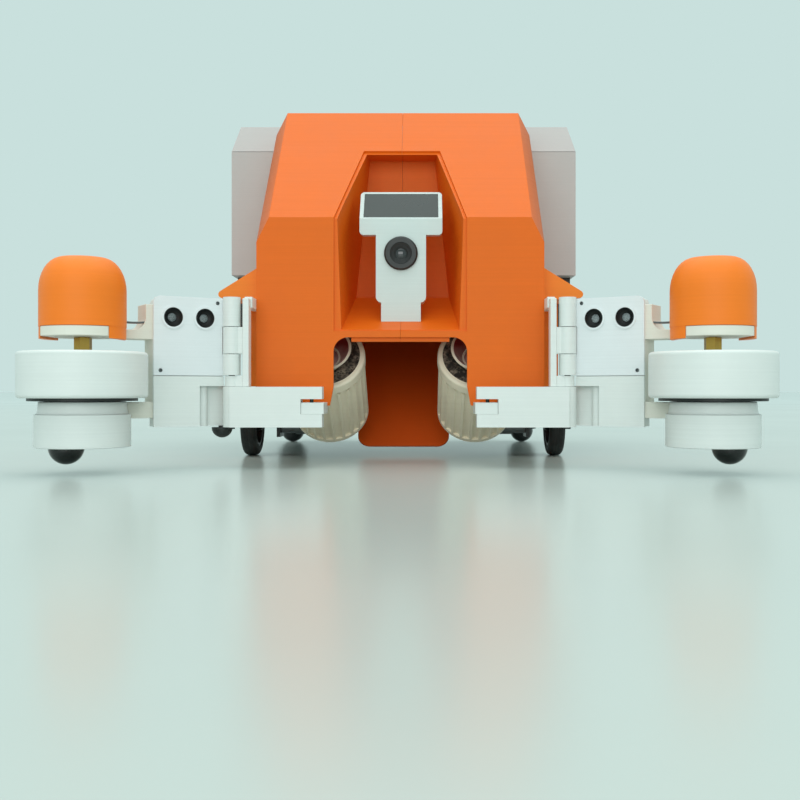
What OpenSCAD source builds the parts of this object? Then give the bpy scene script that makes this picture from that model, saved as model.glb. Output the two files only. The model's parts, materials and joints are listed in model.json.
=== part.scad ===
// Ball-collecting two wheel robot car: a printed body on two drive wheels, an orange nose with
// a camera niche over a ball mouth, two inclined fluted intake drums, and two hinged arms, each
// with an ultrasonic sensor box and a sweeping disc. +X is the car's left-to-right as seen from
// the front, -Y is forward and +Z is up. The origin is on the floor under the middle of the car.

/* [Nose shell] */
// Half width of the orange nose
nose_half_w = 120; // [112:1:126]
// Y of the flat front face of the nose
nose_front_y = -146; // [-150:1:-140]
// Y of the open rear edge of the nose
nose_rear_y = 5; // [0:1:8]
// Height of the bottom edge of the nose
nose_bottom_z = 50; // [48:1:54]
// Height at which the front face turns into the slope
nose_break_z = 207; // [200:1:214]
// Height of the roof of the nose
nose_top_z = 326; // [318:1:334]
// Y at which the slope meets the roof
nose_roof_y = -29; // [-36:1:-20]
// Chamfer of the upper side edges, across
nose_chamfer_x = 10.5; // [6:0.5:14]
// Chamfer of the upper side edges, down
nose_chamfer_z = 21; // [12:1:26]
// Wall thickness of the printed shells
wall = 3; // [2:0.5:4]

/* [Mouth and niche] */
// Half width of the ball mouth
mouth_half_w = 55.7; // [50:0.1:60]
// Height of the top of the mouth
mouth_top_z = 107; // [105:0.5:109]
// Radius of the upper corners of the mouth
mouth_r = 12; // [6:1:18]
// Half width of the niche at its front, inside its frame
niche_half_w = 53; // [50:1:55]
// Half width of the niche floor at its front
niche_foot_half_w = 49.5; // [47:0.5:52]
// Half width of the niche at its ceiling, inside its frame
niche_top_half_w = 31.8; // [28:0.2:34]
// Width of the sunk frame round the niche
frame_w = 2.5; // [1.5:0.5:3.5]
// Depth of the sunk frame round the niche
frame_depth = 2; // [1:0.5:2.5]
// Height of the niche floor at the front face
niche_floor_z = 112.5; // [110:0.5:114]
// Height of the niche floor at the back wall
niche_back_floor_z = 149; // [140:1:155]
// Y of the niche back wall
niche_back_y = -49; // [-56:1:-44]
// Height of the niche ceiling, inside its frame
niche_ceiling_z = 275.5; // [268:0.5:284]

/* [Rear body] */
// Half width of the grey rear body
rear_half_w = 169.5; // [166:0.5:174]
// Half width of the lower part of the rear body, under the hopper's overhang
rear_low_half_w = 150; // [146:1:154]
// Y of the front of the rear body
rear_front_y = 6.5; // [6:0.5:10]
// Y of the back of the rear body
rear_back_y = 268.3; // [262:0.1:276]
// Height at which the lid starts
lid_z = 298; // [290:1:304]
// Height of the underside of the hopper's overhang
rear_flange_z = 176; // [170:1:190]
// Height of the hopper floor's top
hopper_floor_z = 121; // [110:1:130]

/* [Wheels and casters] */
// Radius of the drive wheels
wheel_r = 32.5; // [30:0.5:36]
// Width of a tyre
wheel_w = 14.5; // [12:0.5:20]
// X of the middle of a drive wheel
wheel_x = 146; // [144:1:152]
// Y of the wheel axis
wheel_y = -9; // [-14:1:-6]
// Radius of the rear caster balls
caster_r = 13.9; // [12:0.1:16]
// X of a rear caster ball
caster_x = 140; // [120:1:150]
// Y of the rear caster balls
caster_y = 247; // [220:1:248]

/* [Intake drums] */
// Radius of the front rim of an intake drum
drum_r = 35.5; // [33:0.5:37]
// Length of a drum along its axis
drum_len = 88; // [80:1:92]
// X of a drum's axis
drum_x = 67; // [66:0.5:70]
// Tilt of the drum axis from upright, leaning forward
drum_tilt = 55.3; // [50:0.1:60]
// Number of flutes round a drum
drum_flutes = 24; // [18:1:28]

/* [Arms] */
// X of an arm's vertical hinge axis
hinge_x = 136; // [135:0.5:138]
// Y of an arm's vertical hinge axis
hinge_y = -169; // [-172:1:-166]
// Forward angle of an arm from straight sideways
arm_angle = 32; // [26:1:36]
// Distance from the hinge axis to the disc axis
arm_len = 116.8; // [115:0.2:118]
// Outer end of the sensor box from the hinge axis
box_end = 62.8; // [61:0.1:64]
// Inner end of the sensor box from the hinge axis
box_start = 5.5; // [5:0.1:6.5]
// Depth of the sensor box
box_depth = 24; // [22:1:27]
// Bottom of the sensor panel
panel_z = 74.5; // [72:0.5:76]
// Top of the sensor box
box_top_z = 137; // [130:1:140]
// Height of the sensor eyes
eye_z = 120.5; // [116:0.5:122]
// Spacing of the two sensor cans
eye_pitch = 26; // [25:0.5:28]

/* [Sweeping discs] */
// Radius of a sweeping disc
disc_r = 47.2; // [45:0.2:49]
// Bottom of a sweeping disc
disc_z = 57; // [56:0.5:58]
// Top of a sweeping disc
disc_top_z = 91.5; // [88:0.5:93]
// Radius of a dome cap
dome_r = 31.5; // [30:0.1:33]
// Top of a dome cap
dome_top_z = 162; // [155:1:165]
// Radius of the lower cup
cup_r = 34.7; // [33:0.1:37]
// Radius of the roller ball under a cup
tip_ball_r = 13.2; // [12:0.1:14]
// Gap between a roller ball and the floor
tip_ball_gap = 7.2; // [5:0.1:9]

/* [Camera post] */
// Width of the display head
head_w = 71; // [60:1:76]
// Width of the post
post_w = 43; // [36:1:48]
// Width of the post's foot
foot_w = 34; // [28:1:40]
// Y of the front of the post
post_y = -122; // [-126:1:-118]
// Height of the camera lens
lens_z = 180; // [174:1:184]

/* [Hidden] */
$fn = 64;
run_gap = 0.05;
body_gap = 0.4;
screw_hole_r = 1.6;
plate_top = nose_bottom_z;
plate_t = 4;
plate_bottom = plate_top - plate_t;
pin_r = 2.5;
knuckle_r = 7;
bore_r = pin_r + run_gap;
arm_knuckle_z = [[75, 91.8], [114.2, 138]];
fixed_knuckle_z = [92.2, 113.8];
bar_z = [33, 65.6];
bar_y = [-179, -164];
bar_x = [62, hinge_x];
bracket_x = [121.5, 126.5];
bracket_y = [-174, -162];
bracket_top_z = 137;
low_lug_z = [bar_z[1] + 0.1, 74.4];
lug_z = [130, 138.9];
link_pin = [71, -171.5];
link_pin_r = 1.5;
band_z = 66.2;
block_z = 34;
block_start = 25.5;
foot_place = [2.5, 15];
panel_t = 2.5;
panel_y = 3.7;
disc_axis_y = 2.1;
motor_plate_z = [102.6, 109.8];
motor_plate_half_w = 25;
cup_z = 20.4;
neck_z = 45;
neck_r = 32.2;
neck_top_z = 54.3;
plate_under_t = 2.2;
coupler_flat = 11.5;
eye_x = (box_start + box_end) / 2;
eye_hole_r = 7.7;
drum_flute_r = 3.7;
drum_flute_depth = 2.6;
drum_rear_band = 4;
drum_body_r = drum_r - 1;
drum_band = 10;
drum_dish_r = 24;
drum_dish_out = 10;
slope_run = nose_roof_y - nose_front_y;
slope_rise = nose_top_z - nose_break_z;
slope_out = [0, -slope_rise, slope_run] / sqrt(slope_run * slope_run + slope_rise * slope_rise);
niche_wall = 2.5;
niche_back_half_w = 43;
niche_back_top_half_w = 30;
niche_lead = 0.6;
wing_y = [-129, -79];
arch_y = 30;
drum_end_y = -34.4;
drum_end_z = 43.1;
ramp_half_w = 44.6;
ramp_y = [-4, 75];
ramp_z = [7.5, 121];
caster_socket_r = 17.5;
accessory_holes = [[-30, 130], [30, 130], [-30, 170], [30, 170]];
plate_screws = [for (x = [-134, 134], y = [60, 150, 225]) [x, y]];
lid_hinge_y = rear_back_y + 4;
lid_knuckle_r = 4;
lid_knuckle_x = 110;
lid_knuckle_half = 18;
lid_pin_r = 1.5;

// Convex solid through a list of points
module convex(points) {
    hull()
        polyhedron(points, [for (i = [0:len(points) - 3]) [i, i + 1, i + 2]]);
}

// Box between two corners
module box(low, high) {
    translate(low)
        cube(high - low);
}

// Rectangle with rounded corners, built from true circles
module round_rect(low, high, r) {
    translate(low + [r, 0])
        square([high.x - low.x - 2 * r, high.y - low.y]);
    translate(low + [0, r])
        square([high.x - low.x, high.y - low.y - 2 * r]);
    for (x = [low.x + r, high.x - r], y = [low.y + r, high.y - r])
        translate([x, y])
            circle(r);
}

// Places its children on the right (side = 1) or mirrors them to the left (side = -1)
module on_side(side) {
    mirror([side < 0 ? 1 : 0, 0, 0])
        children();
}

// Frame of an arm: its X runs out along the arm and its -Y faces forward
module arm_frame() {
    translate([hinge_x, hinge_y, 0])
        rotate([0, 0, -arm_angle])
            children();
}

// Frame of a disc axis, inside the arm's frame
module disc_frame() {
    arm_frame()
        translate([arm_len, disc_axis_y, 0])
            children();
}

// Frame of a drum: its Z runs along the drum axis, from the rear end to the front end
module drum_frame() {
    translate([drum_x, drum_end_y, drum_end_z])
        rotate([drum_tilt, 0, 0])
            children();
}

// Corner points of the nose, pulled in by t on every face
function nose_points(t) = [
    for (s = [-1, 1])
        each [
            [s * (nose_half_w - t), nose_front_y + t, nose_bottom_z - 5],
            [s * (nose_half_w - t), nose_rear_y + t, nose_bottom_z - 5],
            [s * (nose_half_w - t), nose_front_y + t, nose_break_z - nose_chamfer_z - 0.3 * t],
            [s * (nose_half_w - t), nose_roof_y, nose_top_z - nose_chamfer_z - 0.3 * t],
            [s * (nose_half_w - t), nose_rear_y + t, nose_top_z - nose_chamfer_z - 0.3 * t],
            [s * (nose_half_w - nose_chamfer_x - 0.6 * t), nose_front_y + t,
                nose_break_z - 0.4 * t],
            [s * (nose_half_w - nose_chamfer_x - 0.6 * t), nose_roof_y + 0.4 * t,
                nose_top_z - t],
            [s * (nose_half_w - nose_chamfer_x - 0.6 * t), nose_rear_y + t, nose_top_z - t]
        ]
];

// Y of the sloped face at a given height
function slope_y(z) = nose_front_y + (z - nose_break_z) * slope_run / slope_rise;

// Corner points of the camera niche, grown by t
function niche_points(t) = [
    for (s = [-1, 1])
        each [
            [s * (niche_foot_half_w + t), nose_front_y - niche_lead, niche_floor_z - 0.2 - t],
            [s * (niche_half_w + t), nose_front_y - niche_lead, nose_break_z + 0.3],
            [s * (niche_top_half_w + t), slope_y(niche_ceiling_z) - niche_lead,
                niche_ceiling_z + t],
            [s * (niche_back_half_w + t), niche_back_y + t, niche_back_floor_z - t],
            [s * (niche_back_top_half_w + t), niche_back_y + t, niche_ceiling_z + t]
        ]
];

// Shallow sunk frame round the niche, on the front face and on the slope
module frame_cut() {
    low_w = niche_half_w + frame_w;
    top_w = niche_top_half_w + frame_w;
    top_z = niche_ceiling_z + 3.5;
    box([-low_w, nose_front_y - 1, niche_floor_z - 0.2],
        [low_w, nose_front_y + frame_depth, nose_break_z]);
    convex([for (s = [-1, 1], d = [1, -frame_depth]) each [
        [s * low_w, nose_front_y, nose_break_z] + d * slope_out,
        [s * top_w, slope_y(top_z), top_z] + d * slope_out]]);
}

// Opening of the ball mouth, through the front wall
module mouth_cut() {
    leg_flare = 3;
    flare_h = 16;
    translate([0, nose_front_y + 12, 0])
        rotate([90, 0, 0])
            linear_extrude(20) {
                round_rect([-mouth_half_w, 20], [mouth_half_w, mouth_top_z], mouth_r);
                polygon([[-mouth_half_w - leg_flare, nose_bottom_z],
                    [-mouth_half_w, nose_bottom_z + flare_h],
                    [mouth_half_w, nose_bottom_z + flare_h],
                    [mouth_half_w + leg_flare, nose_bottom_z],
                    [mouth_half_w, nose_bottom_z - 1], [-mouth_half_w, nose_bottom_z - 1]]);
            }
}

// Whole nose: outer shell, niche walls and the deep lip between niche and mouth
module nose() {
    lip_half_w = 41;
    lip_z = 103.4;
    difference() {
        union() {
            difference() {
                intersection() {
                    union() {
                        difference() {
                            convex(nose_points(0));
                            convex(nose_points(wall));
                        }
                        convex(niche_points(niche_wall));
                    }
                    convex(nose_points(0));
                }
                mouth_cut();
            }
            box([-lip_half_w, nose_front_y + wall - 0.05, lip_z],
                [lip_half_w, nose_front_y + 8, niche_floor_z + 1]);
        }
        convex(niche_points(0));
        frame_cut();
        box([-200, -200, 0], [200, 200, nose_bottom_z]);
    }
}

// One half of the nose, split at the centre seam
module nose_half(side) {
    color("#DB6822")
        intersection() {
            nose();
            on_side(side)
                box([0.1, -200, 0], [200, 200, 400]);
        }
}

module shell_left() { nose_half(-1); }
module shell_right() { nose_half(1); }

// Triangular fairings on the sides of the nose, above the arm hinges
module shoulder_wings() {
    tip = [152, 144.4];
    tip_r = 3.1;
    side_wall_x = 140;
    color("#F49044")
        for (s = [-1, 1])
            on_side(s) {
                translate([0, wing_y[1], 0])
                    rotate([90, 0, 0])
                        linear_extrude(wing_y[1] - wing_y[0]) {
                            polygon([[nose_half_w, 139], [nose_half_w, 168], [153.5, 147.2],
                                [151.5, 141.4]]);
                            translate(tip)
                                circle(tip_r);
                        }
                box([nose_half_w, wing_y[1] - wall, band_z], [side_wall_x, wing_y[1], 142]);
            }
}

// Floor plate that carries motors, battery, hopper and casters
module chassis_plate() {
    front_half_w = 118;
    rear_half_w = rear_low_half_w - 1;
    ramp_slot_half_w = 47;
    color("#30302E")
        difference() {
            union() {
                box([-front_half_w, -20.5, plate_bottom],
                    [front_half_w, rear_back_y - 6, plate_top]);
                box([-rear_half_w, 32, plate_bottom], [rear_half_w, rear_back_y - 4, plate_top]);
                for (s = [-1, 1])
                    translate([s * caster_x, caster_y, plate_bottom])
                        cylinder(r = caster_socket_r, h = plate_t);
            }
            box([-ramp_slot_half_w, -30, 40], [ramp_slot_half_w, 46, 60]);
            for (p = concat(accessory_holes, plate_screws))
                translate([p.x, p.y, 40])
                    cylinder(r = screw_hole_r, h = 20);
        }
}

// Sloping ball ramp with rounded foot corners and low side walls
module ball_ramp() {
    rise = ramp_z[1] - ramp_z[0];
    run = ramp_y[1] - ramp_y[0];
    length = sqrt(rise * rise + run * run);
    color("#9A3A10")
        translate([0, ramp_y[0], ramp_z[0]])
            rotate([atan2(rise, run), 0, 0]) {
                linear_extrude(2.5) {
                    round_rect([-ramp_half_w, 0], [ramp_half_w, 60], 12);
                    translate([-ramp_half_w, 30])
                        square([2 * ramp_half_w, length - 30]);
                }
                for (s = [-1, 1])
                    on_side(s)
                        box([ramp_half_w - 2.5, 40, 2.5], [ramp_half_w, length - 12, 22]);
            }
}

// Floor of the ball hopper, with the gap where the ramp arrives
module hopper_floor() {
    half_w = rear_low_half_w - wall - 0.2;
    ramp_gap_half_w = ramp_half_w + 2;
    color("#8E8A82")
        difference() {
            box([-half_w, arch_y + wall + 0.2, hopper_floor_z - 3],
                [half_w, rear_back_y - wall - 0.2, hopper_floor_z]);
            box([-ramp_gap_half_w, 0, 100], [ramp_gap_half_w, ramp_y[1] + 0.6, 140]);
        }
}

// Grey housing of the hopper and electronics: two sides, a back and two front flanges
module rear_body() {
    low_w = rear_low_half_w;
    rim_z = lid_z - body_gap;
    shelf_top = rear_flange_z + wall;
    flange_x = nose_half_w + 1.5;
    floor_t = 4;
    color("#A7A199")
        difference() {
            union() {
                difference() {
                    union() {
                        box([-rear_half_w, rear_front_y, rear_flange_z],
                            [rear_half_w, rear_back_y, rim_z]);
                        box([-low_w, arch_y, plate_top], [low_w, rear_back_y, shelf_top]);
                    }
                    box([-rear_half_w + wall, 0, shelf_top],
                        [rear_half_w - wall, rear_back_y - wall, lid_z + 10]);
                    box([-low_w + wall, 0, plate_top + floor_t],
                        [low_w - wall, rear_back_y - wall, shelf_top + 1]);
                    box([-low_w + 30, 0, 0], [low_w - 30, rear_back_y - 40, plate_top + 10]);
                }
                for (s = [-1, 1])
                    on_side(s) {
                        box([flange_x, rear_front_y, rear_flange_z],
                            [rear_half_w, rear_front_y + wall, rim_z]);
                        box([flange_x, rear_front_y, rear_flange_z],
                            [low_w + 1, arch_y + wall, shelf_top]);
                        box([flange_x, arch_y, plate_top], [low_w, arch_y + wall, shelf_top]);
                        box([flange_x, rear_front_y, plate_top],
                            [flange_x + wall, arch_y + wall, shelf_top]);
                        box([low_w - 12, arch_y + 1, hopper_floor_z - 9],
                            [low_w - wall, rear_back_y - wall, hopper_floor_z - 3.1]);
                    }
            }
            for (p = plate_screws)
                translate([p.x, p.y, 40])
                    cylinder(r = screw_hole_r, h = 30);
            for (x = [-100, -20])
                box([x - 2, rear_back_y - 8, 70], [x + 22, rear_back_y + 5, 84]);
        }
    color("#A7A199")
        for (s = [-1, 1], e = [-1, 1])
            translate([s * lid_knuckle_x + e * (lid_knuckle_half + 4.4), 0, 0])
                difference() {
                    union() {
                        cross_cylinder(lid_knuckle_r, 8);
                        box([-4, rear_back_y - 1, lid_z - 14], [4, lid_hinge_y, lid_z]);
                    }
                    cross_cylinder(lid_pin_r + run_gap, 20);
                }
}

// Cylinder along X, centred on the lid's hinge axis
module cross_cylinder(r, length) {
    translate([0, lid_hinge_y, lid_z])
        rotate([0, 90, 0])
            cylinder(r = r, h = length, center = true);
}

// Lid of the hopper: a shallow hollow tray with sloped edges, hinged at the back
module hopper_lid() {
    top = nose_top_z;
    color("#B4B2AE")
        difference() {
            union() {
                difference() {
                    convex([for (s = [-1, 1]) each [
                        [s * rear_half_w, rear_front_y, lid_z],
                        [s * rear_half_w, rear_back_y, lid_z],
                        [s * (rear_half_w - 6.5), rear_front_y + 15, top],
                        [s * (rear_half_w - 6.5), rear_back_y - 15, top]]]);
                    convex([for (s = [-1, 1]) each [
                        [s * (rear_half_w - 3), rear_front_y + 3, lid_z - 1],
                        [s * (rear_half_w - 3), rear_back_y - 3, lid_z - 1],
                        [s * (rear_half_w - 9.2), rear_front_y + 17.5, top - 3],
                        [s * (rear_half_w - 9.2), rear_back_y - 17.5, top - 3]]]);
                }
                for (s = [-1, 1])
                    translate([s * lid_knuckle_x, 0, 0]) {
                        cross_cylinder(lid_knuckle_r, 2 * lid_knuckle_half);
                        box([-lid_knuckle_half, rear_back_y - 4, lid_z],
                            [lid_knuckle_half, lid_hinge_y, lid_z + lid_knuckle_r]);
                    }
            }
            for (s = [-1, 1])
                translate([s * lid_knuckle_x, 0, 0])
                    cross_cylinder(lid_pin_r + run_gap, 60);
        }
}

// Camera post: foot, shouldered stem and slanted display head
module camera_post() {
    stem_back = post_y + 22;
    foot_top = 144;
    head_z = [196, 237];
    head_r = 3.2;
    color("#E4ECEA")
        difference() {
            union() {
                translate([0, stem_back, 0])
                    rotate([90, 0, 0])
                        linear_extrude(22) {
                            round_rect([-post_w / 2, 138], [post_w / 2, head_z[0] + 4], 5);
                            translate([-foot_w / 2, 118])
                                square([foot_w, foot_top - 118]);
                        }
                intersection() {
                    translate([-head_w / 2, 0, 0])
                        rotate([90, 0, 90])
                            linear_extrude(head_w)
                                polygon([[post_y, head_z[0]], [post_y, 210],
                                    [post_y + 23, head_z[1]], [post_y + 29, 232],
                                    [post_y + 9, 208.5], [post_y + 9, head_z[0]]]);
                    translate([0, post_y + 40, 0])
                        rotate([90, 0, 0])
                            linear_extrude(60)
                                round_rect([-head_w / 2, head_z[0]], [head_w / 2, head_z[1]],
                                    head_r);
                }
            }
            convex([for (s = [-40, 40]) each [[s, -150, 50], [s, -150, niche_front_z(-150) + 0.1],
                [s, -60, niche_front_z(-60) + 0.1], [s, -60, 50]]]);
            translate([0, post_y + 12, lens_z])
                rotate([90, 0, 0])
                    cylinder(r = 12, h = 14);
            window_place()
                box([-32.2, 1.4, -1.6], [32.2, 33.3, 2]);
        }
}

// Height of the niche floor at a given Y
function niche_front_z(y) =
    niche_floor_z + (y - nose_front_y) * (niche_back_floor_z - niche_floor_z)
    / (niche_back_y - nose_front_y);

// Frame on the slanted top of the display head: X across, Y up the slope, Z out of it
module window_place() {
    translate([0, post_y, 210])
        rotate([atan2(27, 23), 0, 0])
            children();
}

module display_window() {
    color("#53625E")
        window_place()
            box([-32, 1.6, -1.6], [32, 33.1, -0.2]);
}

module camera_module() {
    color("#1A1D1C")
        difference() {
            translate([0, post_y, lens_z])
                rotate([90, 0, 0])
                    rotate_extrude()
                        polygon([[0, -11.8], [11.9, -11.8], [11.9, 0.1], [14.4, 0.1],
                            [14.4, 2.2], [13.1, 3.4], [9.4, 3.4], [8.6, 0.6], [6.2, -0.6], [0, -0.6]]);
            translate([0, post_y + 4, lens_z])
                rotate([90, 0, 0])
                    cylinder(r = 4.6, h = 10);
        }
}

module camera_lens() {
    color("#10151C")
        intersection() {
            translate([0, post_y + 4, lens_z])
                rotate([90, 0, 0])
                    cylinder(r = 4.5, h = 10);
            translate([0, post_y + 8.4, lens_z])
                sphere(r = 9.5);
        }
}

// Fixed hinge brackets bolted to the sides of the nose
module hinge_brackets() {
    low_barrel_r = 5.5;
    color("#E4ECEA")
        for (s = [-1, 1])
            on_side(s)
                difference() {
                    union() {
                        box([bracket_x[0], bracket_y[0], low_lug_z[0]],
                            [bracket_x[1], bracket_y[1], bracket_top_z]);
                        box([nose_half_w + 0.05, -165, lug_z[0]],
                            [bracket_x[1], -126, lug_z[1]]);
                        for (z = [low_lug_z, fixed_knuckle_z])
                            box([bracket_x[1] - 0.1, hinge_y - 4, z[0]],
                                [hinge_x, hinge_y + 4, z[1]]);
                        translate([hinge_x, hinge_y, fixed_knuckle_z[0]])
                            cylinder(r = knuckle_r, h = fixed_knuckle_z[1] - fixed_knuckle_z[0]);
                        translate([hinge_x, hinge_y, low_lug_z[0]])
                            cylinder(r = low_barrel_r, h = low_lug_z[1] - low_lug_z[0]);
                    }
                    translate([hinge_x, hinge_y, 60])
                        cylinder(r = bore_r, h = 90);
                }
}

// Hinge pins of the arms, the bar links and the lid
module hinge_pins() {
    arm_pin_z = [31.5, 137.8];
    link_pin_inset = 0.3;
    color("#3A3F3D") {
        for (s = [-1, 1])
            on_side(s) {
                translate([hinge_x, hinge_y, arm_pin_z[0]])
                    cylinder(r = pin_r, h = arm_pin_z[1] - arm_pin_z[0]);
                translate([link_pin.x, link_pin.y, bar_z[0] + link_pin_inset])
                    cylinder(r = link_pin_r, h = bar_z[1] - bar_z[0] - 2 * link_pin_inset);
            }
        for (s = [-1, 1])
            translate([s * lid_knuckle_x, 0, 0])
                cross_cylinder(lid_pin_r, 2 * lid_knuckle_half + 17);
    }
}

// Fixed bumper bars: barrel at the hinge, forked inner end
module bumper_bars() {
    fork_end = 79.2;
    color("#E4ECEA")
        for (s = [-1, 1])
            on_side(s)
                difference() {
                    union() {
                        box([bar_x[0], bar_y[0], bar_z[0]], [bar_x[1], bar_y[1], bar_z[1]]);
                        translate([hinge_x, hinge_y, bar_z[0]])
                            cylinder(r = knuckle_r, h = bar_z[1] - bar_z[0]);
                    }
                    box([50, -190, 43.6], [fork_end, -150, 55.7]);
                    translate([hinge_x, hinge_y, 20])
                        cylinder(r = bore_r, h = 60);
                    translate([link_pin.x, link_pin.y, 20])
                        cylinder(r = link_pin_r + run_gap, h = 60);
                }
}

// Rubber foot on a short stem, under the hinge end of the left arm
module arm_foot_left() {
    foot_r = 8.5;
    foot_top = 32.5;
    stem_r = 3;
    color("#26211F")
        on_side(-1)
            arm_frame()
                translate([foot_place.x, foot_place.y, foot_top]) {
                    difference() {
                        sphere(r = foot_r);
                        box([-10, -10, 0], [10, 10, 10]);
                    }
                    translate([0, 0, -1])
                        cylinder(r = stem_r, h = block_z - foot_top + 1);
                }
}

// Link tabs pinned in the forks, with a tongue under each leg of the nose
module bar_links() {
    link_x = [60.8, 79];
    link_z = [43.7, 52.9];
    tongue_y = nose_front_y + wall - 0.2;
    color("#DCE6E3")
        for (s = [-1, 1])
            on_side(s)
                difference() {
                    union() {
                        box([link_x[0], -177.5, link_z[0]],
                            [link_x[1], nose_front_y - 0.1, link_z[1]]);
                        box([link_x[0], -150, link_z[0]],
                            [link_x[1], tongue_y, nose_bottom_z - 0.05]);
                    }
                    translate([link_pin.x, link_pin.y, 20])
                        cylinder(r = link_pin_r + run_gap, h = 60);
                }
}

// Geared drive motors, lying across the car behind the drums
module drive_motors() {
    color("#9EA3A5")
        for (s = [-1, 1])
            on_side(s)
                translate([84, wheel_y, wheel_r])
                    rotate([0, 90, 0])
                        difference() {
                            union() {
                                cylinder(r = 12.2, h = 20);
                                translate([0, 0, 20])
                                    cylinder(r = 11, h = 13.6);
                            }
                            translate([0, 0, 14])
                                cylinder(r = 2.5 + run_gap, h = 30);
                        }
}

// Drum motors, inside the drums on their rear brackets
module drum_motors() {
    color("#9EA3A5")
        for (s = [-1, 1])
            on_side(s)
                drum_frame()
                    difference() {
                        translate([0, 0, -8])
                            cylinder(r = 12, h = 58);
                        translate([0, 0, 30])
                            cylinder(r = 2.5 + run_gap, h = 30);
                    }
}

// Brackets that hang the drive motors and the drum motors from the chassis plate, and the
// dark liners of the wheel arches
module motor_brackets() {
    socket_r = 12.05;
    liner_x = [nose_half_w + 4.6, rear_half_w - 2.5];
    liner_z = [118, rear_flange_z - 0.1];
    color("#3B3D3C")
        for (s = [-1, 1])
            on_side(s) {
                box([liner_x[0], arch_y - 3, liner_z[0]], [liner_x[1], arch_y - 0.1, liner_z[1]]);
                difference() {
                    box([117.7, wheel_y - 13, 18], [121, wheel_y + 13, plate_bottom]);
                    translate([110, wheel_y, wheel_r])
                        rotate([0, 90, 0])
                            cylinder(r = 3.4, h = 20);
                }
                difference() {
                    union() {
                        drum_frame()
                            translate([0, 0, -11])
                                cylinder(r = 14, h = 2.9);
                        box([60, -24, 38], [74, -16, plate_bottom]);
                    }
                    box([40, -40, plate_bottom], [100, 0, 70]);
                    drum_frame()
                        translate([0, 0, -8.05])
                            cylinder(r = socket_r, h = 30);
                }
            }
}

// Sockets of the two rear ball casters
module caster_housings() {
    color("#2A2C2B")
        for (s = [-1, 1])
            on_side(s)
                difference() {
                    translate([caster_x, caster_y, 16])
                        cylinder(r = caster_socket_r, h = plate_bottom - 16);
                    translate([caster_x, caster_y, caster_r])
                        sphere(r = caster_r + body_gap);
                    translate([caster_x, caster_y, 10])
                        cylinder(r = caster_r + body_gap, h = 6.4);
                }
}

module caster_ball(side) {
    color("#1E2422")
        on_side(side)
            translate([caster_x, caster_y, caster_r])
                sphere(r = caster_r);
}

module caster_ball_left() { caster_ball(-1); }
module caster_ball_right() { caster_ball(1); }

// Rechargeable battery pack on the chassis plate
module battery_pack() {
    color("#2F4D8A")
        translate([0, 0, plate_top])
            linear_extrude(34)
                round_rect([-65, 178], [65, 226], 5);
}

// Controller board with its larger chips, on four standoffs
module control_board() {
    color("#1F6B3C") {
        difference() {
            box([-50, 90, plate_top + 6], [50, 176, plate_top + 7.6]);
            for (p = accessory_holes)
                translate([p.x, p.y, plate_top])
                    cylinder(r = 3, h = 20);
        }
        for (x = [-46, 46], y = [94, 172])
            translate([x, y, plate_top])
                cylinder(r = 3, h = 6.1);
        box([-20, 138, plate_top + 7.6], [-4, 154, plate_top + 10]);
        box([8, 100, plate_top + 7.6], [38, 116, plate_top + 18]);
    }
}

// Bezel of the power switch and the charging socket, in the back wall
module switch_socket() {
    color("#222423") {
        difference() {
            box([-101.8, rear_back_y - 12, 70.2], [-78.2, rear_back_y - 0.4, 83.8]);
            box([-99, rear_back_y - 9, 72.5], [-81, rear_back_y + 3, 81.5]);
            translate([-90, rear_back_y - 5, 77])
                rotate([0, 90, 0])
                    cylinder(r = 1 + run_gap, h = 21, center = true);
        }
        difference() {
            box([-21.8, rear_back_y - 12, 70.2], [1.8, rear_back_y - 0.4, 83.8]);
            translate([-10, rear_back_y + 1, 77])
                rotate([90, 0, 0])
                    cylinder(r = 4, h = 10);
        }
    }
}

// Rocker of the power switch, on its cross pin
module power_switch() {
    color("#B3261E") {
        difference() {
            box([-98.2, rear_back_y - 6.5, 74.2], [-81.8, rear_back_y - 1.6, 79.8]);
            box([-110, rear_back_y - 2.4, 76.4], [-70, rear_back_y + 2, 77.6]);
        }
        translate([-90, rear_back_y - 5, 77])
            rotate([0, 90, 0])
                cylinder(r = 1, h = 20.4, center = true);
    }
}

// Screws that hold the rear body on the chassis plate
module assembly_screws() {
    color("#5B5F60")
        for (p = plate_screws)
            translate([p.x, p.y, plate_bottom - 2])
                difference() {
                    union() {
                        cylinder(r = 2.9, h = 2);
                        cylinder(r = 1.5, h = 9.5);
                    }
                    translate([0, 0, -1])
                        cylinder(r = 1.3, h = 2.2, $fn = 6);
                }
}

// Tyre with a rounded tread
module tyre(side) {
    bead_r = 24.02;
    color("#1B1D1C")
        on_side(side)
            translate([wheel_x, wheel_y, wheel_r])
                rotate([0, 90, 0])
                    rotate_extrude()
                        difference() {
                            translate([bead_r, -wheel_w / 2])
                                round_rect([-6, 0], [wheel_r - bead_r, wheel_w], 4.5);
                            translate([0, -wheel_w])
                                square([bead_r, 2 * wheel_w]);
                        }
}

module tyre_left() { tyre(-1); }
module tyre_right() { tyre(1); }

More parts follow.
